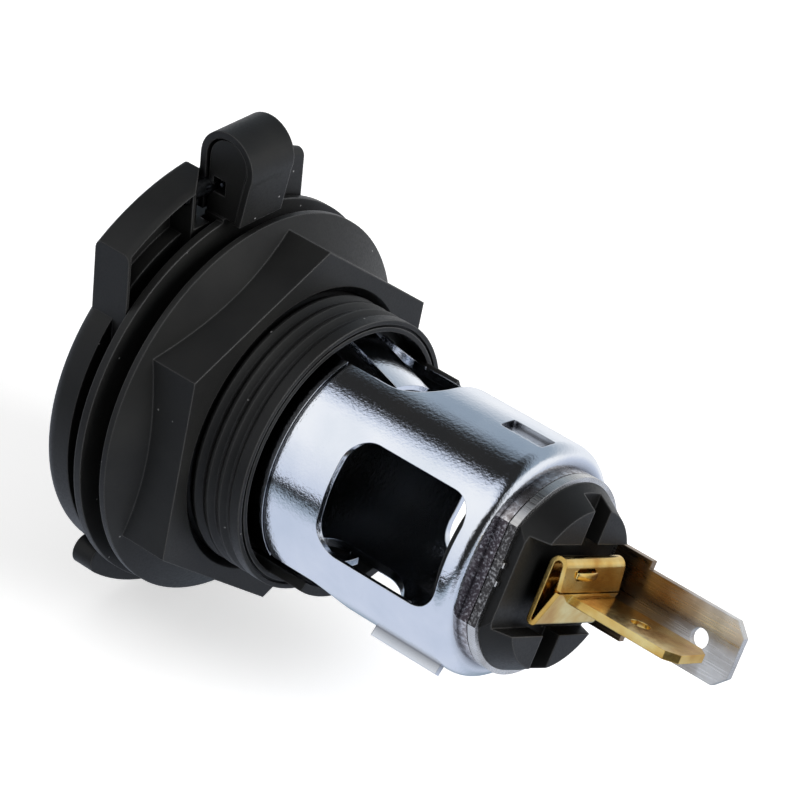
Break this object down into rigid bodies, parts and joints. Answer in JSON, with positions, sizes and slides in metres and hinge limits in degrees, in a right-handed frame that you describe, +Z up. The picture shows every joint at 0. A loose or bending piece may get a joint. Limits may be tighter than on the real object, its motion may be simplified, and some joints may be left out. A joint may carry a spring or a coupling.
{
  "type": "panel-mount 12 V power socket",
  "caption": "Panel-mount 12 V vehicle power socket: sprung hinged cap on a threaded black bezel, hexagonal flanged nut, plated steel shell with a window, and blade terminals at the rear.",
  "frame": {"origin": "on the socket's axis, in the rear face of the bezel flange, which seats on the panel's front", "axes": "+Y along the socket's axis towards the terminals, +Z towards the cap's hinge, +X to the right seen from behind the panel with +Z up"},
  "size_m": [0.0386, 0.0602, 0.0491],
  "materials": {
    "housing": "satin moulded black",
    "lid": "satin moulded black",
    "hinge_pin": "drawn steel",
    "lid_spring": "spring wire",
    "retaining_nut": "satin moulded black",
    "socket_shell": "bright zinc plate",
    "inner_insulator": "moulded black",
    "centre_contact": "rolled spring steel",
    "rivet": "bright",
    "end_plate": "zinc plate",
    "ground_terminal": "tinned",
    "rear_insulator": "moulded black",
    "positive_terminal": "bright rolled brass"
  },
  "bodies": {
    "body": {"housing": "housing", "hinge_pin": "hinge_pin", "lid_spring": "lid_spring", "socket_shell": "socket_shell", "inner_insulator": "inner_insulator", "centre_contact": "centre_contact", "rivet": "rivet", "end_plate": "end_plate", "ground_terminal": "ground_terminal", "rear_insulator": "rear_insulator", "positive_terminal": "positive_terminal"},
    "cap": {"lid": "lid"},
    "nut": {"retaining_nut": "retaining_nut"}
  },
  "joints": [
    {"name": "lid_hinge", "type": "hinge", "parent": "body", "child": "cap", "pos_m": [0, -0.00255, 0.02175], "axis": [-1, 0, 0], "range_deg": [0, 110], "stiffness_Nm_per_rad": 0.006, "springref_deg": -34.38, "deforming": ["lid_spring"]},
    {"name": "nut_travel", "type": "slide", "parent": "body", "child": "nut", "axis": [0, 1, 0], "range_m": [-0.002, 0.0115]}
  ]
}
